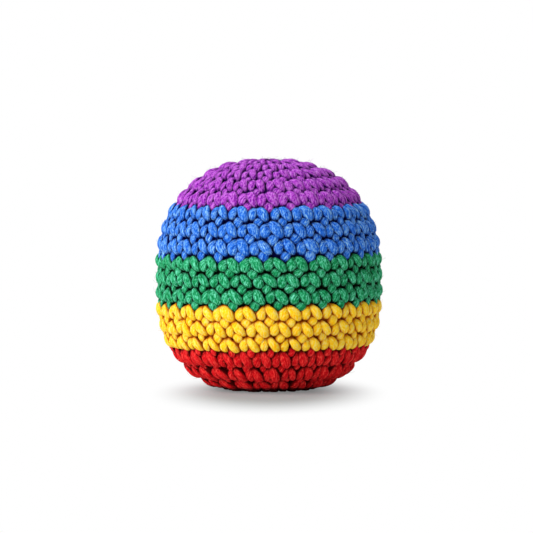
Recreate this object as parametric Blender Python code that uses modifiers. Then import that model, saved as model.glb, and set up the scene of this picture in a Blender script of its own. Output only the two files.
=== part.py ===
"""A crocheted footbag that rests on its own flattened foot.

Five colours of yarn are worked in rounds, from the purple crown down to the
red base. Inside, a thin pouch tied at its neck holds loose pellets, and the
yarn ends are knotted where one colour meets the next. Lengths are in metres,
+Z is up, and the origin is the middle of the foot.
"""

import math
import random

import bmesh
import bpy
from mathutils import Matrix, Vector

# Outside of the bag, over the tops of the stitches
BALL_RADIUS = 0.0275
CROWN_HEIGHT = 0.0295
BASE_DEPTH = 0.0278
FOOT_CUT = 0.0008
CROWN_FULLNESS = 2.4
BASE_FULLNESS = 2.7

# The worked fabric: rounds of stitches, each round shifted by half a stitch
FABRIC_THICKNESS = 0.0040
ROUND_GROOVE = 0.0010
STITCH_DIMPLE = 0.0006
BORDER_ZIGZAG = 0.0004
BAND_GAP = 0.0003
RIDGE_FLATNESS = 1.15
STITCHES_AROUND = 36
STITCHES_ADDED = 6

# Colours from the top down, with the rounds of each
BAND_ROUNDS = {
    "purple_crown": 6,
    "blue_band": 3,
    "green_band": 3,
    "yellow_band": 3,
    "red_base": 6,
}
BAND_ARC_SHARES = {
    "purple_crown": 0.299,
    "blue_band": 0.140,
    "green_band": 0.128,
    "yellow_band": 0.127,
    "red_base": 0.306,
}

# Gap between a piece inside and what it lies against
FIT_GAP = 0.0003

# Knots between the colours, each in a pocket on the inside of the fabric
KNOT_YARN_RADIUS = 0.00028
KNOT_LOOP_SIZE = 0.00050
KNOT_LOOP_RISE = 0.00058
KNOT_END_GAP = math.radians(24)
KNOT_SEAM_ANGLE = math.radians(90)
CUT_OVERRUN = 0.0010

# Tail left from the starting ring, curled under the crown
TAIL_YARN_RADIUS = 0.0006
TAIL_INNER_RADIUS = 0.0040
TAIL_OUTER_RADIUS = 0.0095
TAIL_TURNS = 1.3

# Pouch that holds the pellets, gathered into a neck and tied
POUCH_WALL = 0.0005
NECK_RADIUS = 0.0020
NECK_LENGTH = 0.0032
TIE_RADIUS = 0.0006

# Pellets: a settled bed, and the loose ones on top of it
PELLET_RADIUS = 0.0016
PELLET_DENT = 0.0005
FILL_SHARE = 0.81
LOOSE_PELLETS = 12
PELLET_SEED = 7

# How finely the shapes are drawn
CURVE_STEPS = 240
COLUMNS = 2 * STITCHES_AROUND
FRONT_ROWS_PER_ROUND = 3
BACK_ROWS_PER_ROUND = 0.67
POUCH_COLUMNS = 32
POUCH_ROWS = 14
BED_FINENESS = 4
TUBE_STEPS = 2
KNOT_POINTS = 28
TAIL_POINTS = 22
WELD = 1e-7

WIDEST_HEIGHT = BASE_DEPTH - FOOT_CUT
KNOT_RADIUS = 3 * KNOT_LOOP_SIZE + KNOT_YARN_RADIUS
KNOT_THICKNESS = 2 * (KNOT_LOOP_RISE + KNOT_YARN_RADIUS)
ROUNDS = sum(BAND_ROUNDS.values())


class Profile:
    """A half outline from the top of the axis to its foot, read by share of its length."""

    def __init__(self, points):
        self.points = points
        self.lengths = [0]
        for start, end in zip(points, points[1:]):
            self.lengths.append(self.lengths[-1] + math.dist(start, end))
        self.length = self.lengths[-1]

    def at(self, share):
        """The radius, the height and the outward direction at this share of the length."""
        wanted = min(max(share, 0), 1) * self.length
        index = 1
        while index < len(self.points) - 1 and self.lengths[index] < wanted:
            index += 1
        start = Vector(self.points[index - 1])
        end = Vector(self.points[index])
        along = (wanted - self.lengths[index - 1]) / (end - start).length
        run = (end - start).normalized()
        return start.lerp(end, along), Vector((-run.y, run.x))


def half_outline(radius, up, down):
    """Points of the bag's half outline: an upper and a lower superellipse that meet at the widest level."""
    points = []
    for step in range(CURVE_STEPS + 1):
        angle = math.pi * step / CURVE_STEPS
        height, fullness = (up, CROWN_FULLNESS) if 2 * step < CURVE_STEPS else (-down, BASE_FULLNESS)
        out = radius * abs(math.sin(angle)) ** (2 / fullness)
        rise = height * abs(math.cos(angle)) ** (2 / fullness)
        points.append((out, WIDEST_HEIGHT + rise))
    points[0] = (0, points[0][1])
    points[-1] = (0, points[-1][1])
    return points


def outside_profile():
    """The outside of the fabric, cut level where the bag rests."""
    points = half_outline(BALL_RADIUS, CROWN_HEIGHT, BASE_DEPTH)
    standing = [point for point in points if point[1] > 0]
    above, below = standing[-1], points[len(standing)]
    share = above[1] / (above[1] - below[1])
    foot_radius = above[0] + share * (below[0] - above[0])
    return Profile(standing + [(foot_radius, 0), (0, 0)]), foot_radius


def inset_profile(inset, lowered=0):
    """The same form drawn smaller by an inset all round, its crown lowered if asked."""
    return Profile(
        half_outline(BALL_RADIUS - inset, CROWN_HEIGHT - inset - lowered, WIDEST_HEIGHT - inset)
    )


def material_of(name, colour, roughness):
    """A plain surface of one colour and roughness, made once for each name."""
    found = bpy.data.materials.get(name)
    if found:
        return found
    made = bpy.data.materials.new(name)
    made.use_nodes = True
    shader = made.node_tree.nodes["Principled BSDF"]
    shader.inputs["Base Color"].default_value = (*colour, 1)
    shader.inputs["Roughness"].default_value = roughness
    shader.inputs["Metallic"].default_value = 0
    made.diffuse_color = (*colour, 1)
    return made


def add_object(name, data, collection, material):
    """Puts a mesh or curve in the collection as a named object of one material."""
    made = bpy.data.objects.new(name, data)
    collection.objects.link(made)
    data.materials.append(material)
    return made


def mesh_from(bm, name):
    """Ends a bmesh as a smooth-shaded mesh whose faces point outwards."""
    bmesh.ops.remove_doubles(bm, verts=bm.verts, dist=WELD)
    bmesh.ops.recalc_face_normals(bm, faces=bm.faces)
    mesh = bpy.data.meshes.new(name)
    bm.to_mesh(mesh)
    bm.free()
    mesh.shade_smooth()
    return mesh


def turned_mesh(name, columns, stations, place):
    """A grid rolled round the axis: each row is one station of the section, placed by a function."""
    bm = bmesh.new()
    bmesh.ops.create_grid(bm, x_segments=columns, y_segments=len(stations) - 1, size=1)
    bm.verts.ensure_lookup_table()
    for vert in bm.verts:
        row, column = divmod(vert.index, columns + 1)
        angle = math.tau * (column % columns) / columns
        out, height = place(stations[row], angle)
        vert.co = (out * math.cos(angle), out * math.sin(angle), height)
    return mesh_from(bm, name)


def stitches_in(round_index):
    """Stitches in a round: more each round from the crown, level round the middle, fewer to the foot."""
    from_top = STITCHES_ADDED * (round_index + 1)
    from_foot = STITCHES_ADDED * (ROUNDS - round_index)
    return min(from_top, STITCHES_AROUND, from_foot)


def dimple(round_place, angle):
    """How far the surface lies below the tops of the stitches, at a place counted in rounds."""
    round_index = min(int(round_place), ROUNDS - 1)
    ridge = min(RIDGE_FLATNESS * math.sin(math.pi * (round_place - round_index)), 1)
    turn = stitches_in(round_index) * angle + math.pi * round_index
    stitch = (1 - math.cos(turn)) / 2
    return ROUND_GROOVE * (1 - ridge) + STITCH_DIMPLE * stitch * ridge


def fabric_band(name, collection, outside, foot_share, inside, first_round, shares, material):
    """One colour of yarn as a turned shell, with its rounds and stitches raised on the outside."""
    first, last = shares
    rounds = BAND_ROUNDS[name]
    at_top, at_foot = first_round == 0, first_round + rounds == ROUNDS
    front_rows = FRONT_ROWS_PER_ROUND * rounds
    back_rows = math.ceil(BACK_ROWS_PER_ROUND * rounds)
    front = [(True, step / front_rows) for step in range(front_rows + 1)]
    back = [(False, 1 - step / back_rows) for step in range(back_rows + 1)]
    stations = back + front if at_foot else front + back
    if not (at_top or at_foot):
        stations.append(front[0])

    def place(station, angle):
        is_front, along = station
        profile = outside if is_front else inside
        share = first + (last - first) * along
        half_gap = BAND_GAP / 2 / profile.length
        zigzag = BORDER_ZIGZAG * math.cos(STITCHES_AROUND * angle) / outside.length
        if along == 0 and not at_top:
            share += half_gap + zigzag
        if along == 1 and not at_foot:
            share += zigzag - half_gap
        point, outward = profile.at(share)
        if is_front and share < foot_share:
            point = point - outward * dimple(first_round + rounds * along, angle)
        return max(point.x, 0), max(point.y, 0)

    mesh = turned_mesh(name, COLUMNS, stations, place)
    return add_object(name, mesh, collection, material)


def tube(name, collection, points, radius, material):
    """A yarn end as a curve through its points, with a round section and closed ends."""
    curve = bpy.data.curves.new(name, "CURVE")
    curve.dimensions = "3D"
    curve.bevel_depth = radius
    curve.bevel_resolution = TUBE_STEPS
    curve.use_fill_caps = True
    spline = curve.splines.new("POLY")
    spline.points.add(len(points) - 1)
    for spot, point in zip(spline.points, points):
        spot.co = (*point, 1)
    return add_object(name, curve, collection, material)


def knot_points():
    """The run of an overhand knot pulled flat, its two ends trimmed short beside each other."""
    points = []
    for step in range(KNOT_POINTS):
        turn = KNOT_END_GAP / 2 + (math.tau - KNOT_END_GAP) * step / (KNOT_POINTS - 1)
        across = math.sin(turn) + 2 * math.sin(2 * turn)
        up = math.cos(turn) - 2 * math.cos(2 * turn)
        over = -math.sin(3 * turn)
        points.append(
            Vector((KNOT_LOOP_SIZE * across, KNOT_LOOP_SIZE * up, KNOT_LOOP_RISE * over))
        )
    return points


def seat_on_fabric(inside, share, angle):
    """A frame on the inside of the fabric: its origin on the surface and its local z pointing outwards."""
    point, outward = inside.at(share)
    out = Vector((math.cos(angle), math.sin(angle), 0))
    local_z = (out * outward.x + Vector((0, 0, outward.y))).normalized()
    local_x = Vector((-math.sin(angle), math.cos(angle), 0))
    local_y = local_z.cross(local_x)
    turned = Matrix((local_x, local_y, local_z)).transposed().to_4x4()
    return Matrix.Translation(out * point.x + Vector((0, 0, point.y))) @ turned


def cut_with(target, cutter):
    """Takes the cutter's shape out of the target."""
    modifier = target.modifiers.new(cutter.name, "BOOLEAN")
    modifier.operation = "DIFFERENCE"
    modifier.solver = "EXACT"
    modifier.object = cutter


def knot_in_pocket(name, seat, holders, parts, cutters, material):
    """A knot sunk into the back of the fabric, and the pocket that its holders leave for it."""
    depth = KNOT_THICKNESS + 2 * FIT_GAP
    bm = bmesh.new()
    bmesh.ops.create_cone(
        bm,
        cap_ends=True,
        segments=16,
        radius1=KNOT_RADIUS + FIT_GAP,
        radius2=KNOT_RADIUS + FIT_GAP,
        depth=depth + CUT_OVERRUN,
        matrix=seat @ Matrix.Translation((0, 0, (depth - CUT_OVERRUN) / 2)),
    )
    pocket = add_object(name + "_pocket", mesh_from(bm, name + "_pocket"), cutters, material)
    pocket.hide_render = True
    pocket.display_type = "WIRE"
    for holder in holders:
        cut_with(holder, pocket)
    middle = seat @ Matrix.Translation((0, 0, FIT_GAP + KNOT_THICKNESS / 2))
    points = [middle @ point for point in knot_points()]
    return tube(name, parts, points, KNOT_YARN_RADIUS, material)


def start_tail(collection, inside, material):
    """The yarn tail of the starting ring, curled against the underside of the crown."""
    points = []
    for step in range(TAIL_POINTS):
        along = step / (TAIL_POINTS - 1)
        angle = math.tau * TAIL_TURNS * along
        out = TAIL_INNER_RADIUS + (TAIL_OUTER_RADIUS - TAIL_INNER_RADIUS) * along
        share = out / inside.length
        surface, outward = inside.at(share)
        surface = surface - outward * (FIT_GAP + TAIL_YARN_RADIUS)
        points.append((surface.x * math.cos(angle), surface.x * math.sin(angle), surface.y))
    return tube("start_tail", collection, points, TAIL_YARN_RADIUS, material)


def liner_pouch(collection, pouch, material):
    """The thin pouch: a turned skin given its wall inwards, open at the mouth of its neck."""
    shoulder = next(
        step / CURVE_STEPS
        for step in range(CURVE_STEPS)
        if pouch.at(step / CURVE_STEPS)[0].x >= NECK_RADIUS
    )
    shoulder_height = pouch.at(shoulder)[0].y
    stations = [(NECK_RADIUS, shoulder_height + NECK_LENGTH)]
    for row in range(POUCH_ROWS + 1):
        point = pouch.at(shoulder + (1 - shoulder) * row / POUCH_ROWS)[0]
        stations.append((point.x, point.y))
    mesh = turned_mesh("liner_pouch", POUCH_COLUMNS, stations, lambda station, angle: station)
    made = add_object("liner_pouch", mesh, collection, material)
    wall = made.modifiers.new("wall", "SOLIDIFY")
    wall.thickness = POUCH_WALL
    wall.offset = -1
    return shoulder_height


def liner_tie(collection, shoulder_height, material):
    """The ring of thread drawn round the neck."""
    bm = bmesh.new()
    bmesh.ops.create_circle(bm, segments=8, radius=TIE_RADIUS)
    ring_radius = NECK_RADIUS + FIT_GAP + TIE_RADIUS
    upright = Matrix.Rotation(math.pi / 2, 4, "X")
    middle = Vector((ring_radius, 0, shoulder_height + NECK_LENGTH / 2))
    bmesh.ops.transform(bm, matrix=Matrix.Translation(middle) @ upright, verts=bm.verts)
    bmesh.ops.spin(
        bm, geom=bm.edges[:], axis=(0, 0, 1), cent=(0, 0, 0), angle=math.tau, steps=28
    )
    return add_object("liner_tie", mesh_from(bm, "liner_tie"), collection, material)


def pellet_bed(collection, hollow, fill_level, material):
    """The settled pellets as one mass: it fills the pouch up to the fill level, dented all over."""
    bm = bmesh.new()
    bmesh.ops.create_icosphere(bm, subdivisions=BED_FINENESS, radius=1)
    dents = random.Random(PELLET_SEED)
    for vert in bm.verts:
        tilt = math.acos(min(max(vert.co.z, -1), 1)) / math.pi
        level = Vector((vert.co.x, vert.co.y, 0))
        point, outward = hollow.at(tilt)
        dent = PELLET_DENT * dents.random()
        out = max(point.x - outward.x * dent, 0)
        height = min(point.y - outward.y * dent, fill_level - dent)
        sideways = level.normalized() * out if level.length > WELD else level
        vert.co = (sideways.x, sideways.y, height)
    return add_object("pellet_bed", mesh_from(bm, "pellet_bed"), collection, material)


def loose_pellets(collection, hollow, fill_level, material):
    """Single pellets that lie on top of the bed, spread evenly by the golden angle."""
    golden_angle = math.pi * (3 - math.sqrt(5))
    height = fill_level + FIT_GAP + PELLET_RADIUS
    room = max(out for out, level in hollow.points if level >= height + PELLET_RADIUS)
    spread = room - PELLET_RADIUS - FIT_GAP
    for number in range(LOOSE_PELLETS):
        out = spread * math.sqrt((number + 0.5) / LOOSE_PELLETS)
        angle = golden_angle * number
        name = f"loose_pellet_{number + 1:02d}"
        bm = bmesh.new()
        bmesh.ops.create_uvsphere(bm, u_segments=10, v_segments=6, radius=PELLET_RADIUS)
        pellet = add_object(name, mesh_from(bm, name), collection, material)
        pellet.location = (out * math.cos(angle), out * math.sin(angle), height)


def build():
    """Builds the footbag from the outside in."""
    for old in list(bpy.data.objects):
        bpy.data.objects.remove(old, do_unlink=True)
    parts = bpy.data.collections.new("footbag")
    cutters = bpy.data.collections.new("cutters")
    for collection in (parts, cutters):
        bpy.context.scene.collection.children.link(collection)

    yarns = {
        "purple_crown": material_of("purple_yarn", (0.38, 0.05, 0.48), 0.85),
        "blue_band": material_of("blue_yarn", (0.05, 0.17, 0.62), 0.85),
        "green_band": material_of("green_yarn", (0.03, 0.40, 0.16), 0.85),
        "yellow_band": material_of("yellow_yarn", (0.90, 0.58, 0.03), 0.85),
        "red_base": material_of("red_yarn", (0.55, 0.01, 0.02), 0.85),
    }
    outside, foot_radius = outside_profile()
    inside = inset_profile(FABRIC_THICKNESS)
    foot_share = 1 - foot_radius / outside.length

    bands = {}
    borders = []
    first_round, first_share = 0, 0
    whole_arc = sum(BAND_ARC_SHARES.values())
    for name, rounds in BAND_ROUNDS.items():
        last_share = first_share + BAND_ARC_SHARES[name] / whole_arc
        bands[name] = fabric_band(
            name,
            parts,
            outside,
            foot_share,
            inside,
            first_round,
            (first_share, last_share),
            yarns[name],
        )
        borders.append(last_share)
        first_round += rounds
        first_share = last_share

    names = list(BAND_ROUNDS)
    for upper, lower, share in zip(names, names[1:], borders):
        knot_name = f"{upper.split('_')[0]}_{lower.split('_')[0]}_knot"
        seat = seat_on_fabric(inside, share, KNOT_SEAM_ANGLE)
        knot_in_pocket(knot_name, seat, (bands[upper], bands[lower]), parts, cutters, yarns[lower])
    seat = seat_on_fabric(inside, 1, KNOT_SEAM_ANGLE)
    knot_in_pocket("closing_knot", seat, (bands["red_base"],), parts, cutters, yarns["red_base"])
    start_tail(parts, inside, yarns["purple_crown"])

    film = material_of("liner_film", (0.82, 0.82, 0.80), 0.35)
    thread = material_of("tie_thread", (0.75, 0.72, 0.65), 0.7)
    plastic = material_of("pellet_plastic", (0.80, 0.80, 0.78), 0.4)
    skin = FABRIC_THICKNESS + FIT_GAP
    shoulder_height = liner_pouch(parts, inset_profile(skin, NECK_LENGTH), film)
    liner_tie(parts, shoulder_height, thread)
    hollow = inset_profile(skin + POUCH_WALL + FIT_GAP, NECK_LENGTH)
    top, bottom = hollow.points[0][1], hollow.points[-1][1]
    fill_level = bottom + FILL_SHARE * (top - bottom)
    pellet_bed(parts, hollow, fill_level, plastic)
    loose_pellets(parts, hollow, fill_level, plastic)


build()
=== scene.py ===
"""A crocheted footbag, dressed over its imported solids.

Sizes are millimetres until a mesh is made, and then metres. A place on the bag
is an arc (mm from the top of the axis, down the outside), an angle round the
axis and a depth (mm below the tops of the stitches). Over one stitch, x runs to
the right of its middle, y down from its top, and depth inwards.
"""

import logging
import math
from dataclasses import dataclass, field
from enum import Enum

import bmesh
import bpy
import numpy as np
from bpy.types import ID, Material, Node, NodeSocket, NodeTree, Object
from numpy import ndarray
from numpy.random import Generator
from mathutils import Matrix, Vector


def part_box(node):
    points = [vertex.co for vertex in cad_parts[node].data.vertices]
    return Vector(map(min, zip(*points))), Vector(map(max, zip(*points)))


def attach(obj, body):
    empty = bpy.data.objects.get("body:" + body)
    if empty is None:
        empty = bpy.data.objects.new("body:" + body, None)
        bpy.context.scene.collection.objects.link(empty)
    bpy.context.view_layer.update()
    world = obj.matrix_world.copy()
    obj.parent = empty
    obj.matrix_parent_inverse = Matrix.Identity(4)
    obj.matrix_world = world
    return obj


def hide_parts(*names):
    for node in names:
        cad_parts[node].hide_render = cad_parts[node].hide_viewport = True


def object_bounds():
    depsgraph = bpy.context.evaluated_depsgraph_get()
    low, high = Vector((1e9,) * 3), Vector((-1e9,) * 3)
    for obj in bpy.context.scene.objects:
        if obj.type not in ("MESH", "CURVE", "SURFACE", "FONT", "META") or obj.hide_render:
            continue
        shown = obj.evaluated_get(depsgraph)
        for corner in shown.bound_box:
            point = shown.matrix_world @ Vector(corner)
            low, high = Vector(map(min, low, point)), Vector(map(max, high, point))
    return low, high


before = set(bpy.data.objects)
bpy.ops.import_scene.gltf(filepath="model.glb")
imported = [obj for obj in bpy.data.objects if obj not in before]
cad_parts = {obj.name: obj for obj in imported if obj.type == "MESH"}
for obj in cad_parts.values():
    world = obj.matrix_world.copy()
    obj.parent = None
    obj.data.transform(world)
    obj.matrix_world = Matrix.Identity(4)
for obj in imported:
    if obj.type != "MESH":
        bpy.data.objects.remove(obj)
CAD_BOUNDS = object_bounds()

MM = 0.001
BODY = "root"
log = logging.getLogger("footbag")


class Colour(Enum):
    """The five yarns, named by the CAD node that each one is worked into."""

    PURPLE = "purple_crown"
    BLUE = "blue_band"
    GREEN = "green_band"
    YELLOW = "yellow_band"
    RED = "red_base"


class Lobe(Enum):
    """The three places where a stitch's yarn shows outside.

    Each value is the lobe's run, from one hidden end to the other: x, y, depth
    and half width, for a stitch 4.8 wide in a round 4.05 high.
    """

    LEFT_LEG = (
        (-0.30, 0.00, 2.10, 0.42),
        (-0.46, 0.34, 1.62, 0.64),
        (-0.74, 0.82, 1.28, 0.86),
        (-0.98, 1.38, 1.04, 1.02),
        (-1.10, 1.98, 0.94, 1.10),
        (-1.08, 2.54, 1.04, 1.02),
        (-0.96, 3.00, 1.42, 0.80),
        (-0.80, 3.38, 2.10, 0.46),
    )
    RIGHT_LEG = (
        (0.02, -0.22, 2.10, 0.44),
        (0.20, 0.06, 1.40, 0.66),
        (0.50, 0.50, 0.94, 0.88),
        (0.90, 1.08, 0.78, 1.08),
        (1.30, 1.74, 0.76, 1.16),
        (1.68, 2.42, 0.88, 1.06),
        (1.98, 2.98, 1.34, 0.82),
        (2.20, 3.40, 2.10, 0.48),
    )
    LOOP = (
        (0.52, 1.95, 2.15, 0.50),
        (0.54, 2.45, 1.72, 0.80),
        (0.56, 3.02, 1.41, 1.02),
        (0.52, 3.64, 1.24, 1.13),
        (0.40, 4.22, 1.22, 1.10),
        (0.26, 4.72, 1.50, 0.90),
        (0.10, 5.14, 2.10, 0.52),
    )


def linear(hex_colour: str) -> tuple[float, float, float, float]:
    """Turns an sRGB hex colour to linear light.

    Args:
        hex_colour: Six hex digits after a hash.

    Returns:
        Red, green and blue in linear light, and an alpha of one.
    """
    parts = [int(hex_colour[i : i + 2], 16) / 255 for i in (1, 3, 5)]
    red, green, blue = (
        part / 12.92 if part <= 0.04045 else ((part + 0.055) / 1.055) ** 2.4 for part in parts
    )
    return red, green, blue, 1.0


def add_node(tree: NodeTree, kind: str, inputs: dict | None = None, **settings: object) -> Node:
    """Adds a shader node with its input values, its links and its settings.

    Args:
        tree: The node tree that takes the node.
        kind: The node's type, without the word that all shader nodes start with.
        inputs: Input values by name or number. An output socket is linked, and a
            node is linked by its first output.
        settings: Attributes of the node.

    Returns:
        The new node.
    """
    node = tree.nodes.new("ShaderNode" + kind)
    for name, value in settings.items():
        setattr(node, name, value)
    for name, value in (inputs or {}).items():
        if isinstance(value, Node):
            value = value.outputs[0]
        if isinstance(value, NodeSocket):
            tree.links.new(value, node.inputs[name])
        else:
            node.inputs[name].default_value = value
    return node


def new_material(name: str) -> tuple[Material, NodeTree]:
    """Makes a material with an empty node tree.

    Args:
        name: The material's name.

    Returns:
        The material and its node tree.
    """
    material = bpy.data.materials.new(name)
    material.use_nodes = True
    material.node_tree.nodes.clear()
    return material, material.node_tree


def add_object(name: str, data: ID) -> Object:
    """Makes an object of a mesh, a lamp or a camera, and links it to the scene."""
    made = bpy.data.objects.new(name, data)
    bpy.context.scene.collection.objects.link(made)
    return made


@dataclass(frozen=True)
class YarnFinish:
    """Soft, loosely twisted acrylic yarn.

    Spun acrylic is matt, with a faint sheen where fibres lie side by side. Fine
    lighter and darker fibres run along each strand. Where strands lie deep or
    touch each other, a painted shade darkens the colour towards a crevice shade.
    """

    name: str
    # painted shade: the colour that deep and touching yarn is darkened to
    crevice_shade: str
    deep: str
    middle: str
    light: str
    fibre_mm: float = 0.18  # real fibres are far finer; drawn this coarse so that they show
    fibre_stretch: float = 5.0
    clump_mm: float = 0.9
    clump_share: float = 0.15
    fleck_mm: float = 0.30
    fleck_share: float = 0.25
    roughness: float = 0.85
    sheen: float = 0.01
    gloss: float = 0.08
    bump_mm: float = 0.28
    # painted shade by depth: none above the first depth in mm, full below the second
    shade_depth_from_mm: float = 0.30
    shade_depth_to_mm: float = 1.05
    contrast: float = 0.15
    # painted shade where yarn touches: how far ambient occlusion looks, and the occlusion at which the
    # shade begins and is full
    shade_reach_mm: float = 1.5
    shade_from_occlusion: float = 0.97
    shade_to_occlusion: float = 0.42
    shade_samples: int = 6

    def material(self) -> Material:
        """Builds the yarn's material.

        Returns:
            A material that reads where each point lies along its own strand, and
            paints shade where the yarn lies deep or touches other yarn.
        """
        made, tree = new_material(self.name)
        run = add_node(tree, "Attribute", attribute_name="yarn_run").outputs["Vector"]
        stretch = (1.0, 1.0, 1.0 / self.fibre_stretch)
        along = add_node(tree, "Mapping", {"Vector": run, "Scale": stretch})
        grain = {"Detail": 2.5, "Roughness": 0.7, "Distortion": 0.1}
        fibres, clumps, flecks = (
            add_node(tree, "TexNoise", {"Vector": way, "Scale": 1.0 / size_mm, **form})
            for way, size_mm, form in (
                (along, self.fibre_mm, grain),
                (along, self.clump_mm, {"Detail": 1.0}),
                (run, self.fleck_mm, {"Detail": 1.0}),
            )
        )
        streaks = add_node(tree, "Mix", {0: self.clump_share, 2: fibres, 3: clumps}, data_type="FLOAT")
        pattern = add_node(tree, "Mix", {0: self.fleck_share, 2: streaks, 3: flecks}, data_type="FLOAT")
        tones = add_node(tree, "ValToRGB", {"Fac": pattern})
        ramp = tones.color_ramp
        ramp.elements[0].position = 0.5 - self.contrast
        ramp.elements[0].color = linear(self.deep)
        ramp.elements[1].position = 0.5 + self.contrast
        ramp.elements[1].color = linear(self.light)
        ramp.elements.new(0.5).color = linear(self.middle)
        # Painted shade: points that lie deep, and points where yarn touches other yarn (ambient occlusion),
        # are darkened towards the crevice shade colour.
        shade_depth = add_node(tree, "Attribute", attribute_name="yarn_shade_depth").outputs["Fac"]
        reach = {"Distance": self.shade_reach_mm * MM}
        near = add_node(tree, "AmbientOcclusion", reach, samples=self.shade_samples).outputs["AO"]
        depth_shade, contact_shade = (
            add_node(tree, "MapRange", span, interpolation_type="SMOOTHSTEP")
            for span in (
                {"Value": shade_depth, "From Min": self.shade_depth_from_mm, "From Max": self.shade_depth_to_mm},
                {"Value": near, "From Min": self.shade_from_occlusion, "From Max": self.shade_to_occlusion},
            )
        )
        painted_shade = add_node(tree, "Math", {0: depth_shade, 1: contact_shade}, operation="MAXIMUM")
        shade_mix = {0: painted_shade, 6: tones, 7: linear(self.crevice_shade)}
        colour = add_node(tree, "Mix", shade_mix, data_type="RGBA").outputs[2]
        relief = {"Strength": 1.0, "Distance": self.bump_mm * MM, "Height": pattern}
        look = {
            "Base Color": colour,
            "Roughness": self.roughness,
            "Specular IOR Level": self.gloss,
            "Sheen Weight": self.sheen,
            "Sheen Roughness": 0.5,
            "Sheen Tint": linear(self.light),
            "Normal": add_node(tree, "Bump", relief),
        }
        add_node(tree, "OutputMaterial", {"Surface": add_node(tree, "BsdfPrincipled", look)})
        return made


@dataclass(frozen=True)
class FilmFinish:
    """Thin milky polythene film.

    Film this thin is half clear and a little glossy. It looks whiter and duller
    where it is creased, and fine creases break up its highlights.
    """

    name: str = "liner_film"
    clear: str = "#C9CCC6"
    creased: str = "#F2F3EE"
    cloud_mm: float = 3.5
    crease_mm: float = 0.9
    bump_mm: float = 0.12
    smooth: float = 0.28
    dull: float = 0.55
    clearness: float = 0.35

    def material(self) -> Material:
        """Builds the film's material.

        Returns:
            A half clear material with clouded creases.
        """
        made, tree = new_material(self.name)
        place = add_node(tree, "TexCoord").outputs["Object"]
        haze = {"Vector": place, "Scale": 1 / (self.cloud_mm * MM), "Detail": 3.0}
        clouds = add_node(tree, "TexNoise", haze)
        folds = {"Vector": place, "Scale": 1 / (self.crease_mm * MM), "Detail": 2.0, "Distortion": 0.8}
        creases = add_node(tree, "TexNoise", folds, noise_type="RIDGED_MULTIFRACTAL")
        whites = {0: clouds, 6: linear(self.clear), 7: linear(self.creased)}
        dullness = {"Value": clouds, "To Min": self.smooth, "To Max": self.dull}
        look = {
            "Base Color": add_node(tree, "Mix", whites, data_type="RGBA").outputs[2],
            "Roughness": add_node(tree, "MapRange", dullness),
            "IOR": 1.51,
            "Transmission Weight": self.clearness,
            "Normal": add_node(tree, "Bump", {"Distance": self.bump_mm * MM, "Height": creases}),
        }
        add_node(tree, "OutputMaterial", {"Surface": add_node(tree, "BsdfPrincipled", look)})
        return made


@dataclass(frozen=True)
class PelletFinish:
    """Moulded polyethylene pellets.

    They are waxy and milky, so light sinks in a little. No two are quite the same
    white, and each has a faintly rough skin with a few dull scuffs.
    """

    name: str = "pellet_plastic"
    darkest: str = "#D2D0C6"
    lightest: str = "#F4F3EC"
    scuff_mm: float = 0.8
    skin_mm: float = 0.15
    bump_mm: float = 0.02
    smooth: float = 0.32
    scuffed: float = 0.6
    milk: float = 0.3
    milk_mm: float = 0.6

    def material(self) -> Material:
        """Builds the pellets' material.

        Returns:
            A material that reads each pellet's own tone.
        """
        made, tree = new_material(self.name)
        place = add_node(tree, "TexCoord").outputs["Object"]
        tone = add_node(tree, "Attribute", attribute_name="pellet_tone").outputs["Fac"]
        scuffs, skin = (
            add_node(tree, "TexNoise", {"Vector": place, "Scale": 1 / (size_mm * MM), "Detail": detail})
            for size_mm, detail in ((self.scuff_mm, 2.0), (self.skin_mm, 1.0))
        )
        whites = {0: tone, 6: linear(self.darkest), 7: linear(self.lightest)}
        dullness = {
            "Value": scuffs,
            "From Min": 0.45,
            "From Max": 0.65,
            "To Min": self.smooth,
            "To Max": self.scuffed,
        }
        look = {
            "Base Color": add_node(tree, "Mix", whites, data_type="RGBA").outputs[2],
            "Roughness": add_node(tree, "MapRange", dullness),
            "Subsurface Weight": self.milk,
            "Subsurface Scale": self.milk_mm * MM,
            "Normal": add_node(tree, "Bump", {"Distance": self.bump_mm * MM, "Height": skin}),
        }
        add_node(tree, "OutputMaterial", {"Surface": add_node(tree, "BsdfPrincipled", look)})
        return made


def round_axis(out: ndarray | float, angle: ndarray, level: ndarray | float) -> ndarray:
    """Points from how far they lie off the axis, their angle round it and their level."""
    out, angle, level = np.broadcast_arrays(out, angle, level)
    return np.stack([out * np.cos(angle), out * np.sin(angle), level], -1)


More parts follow.
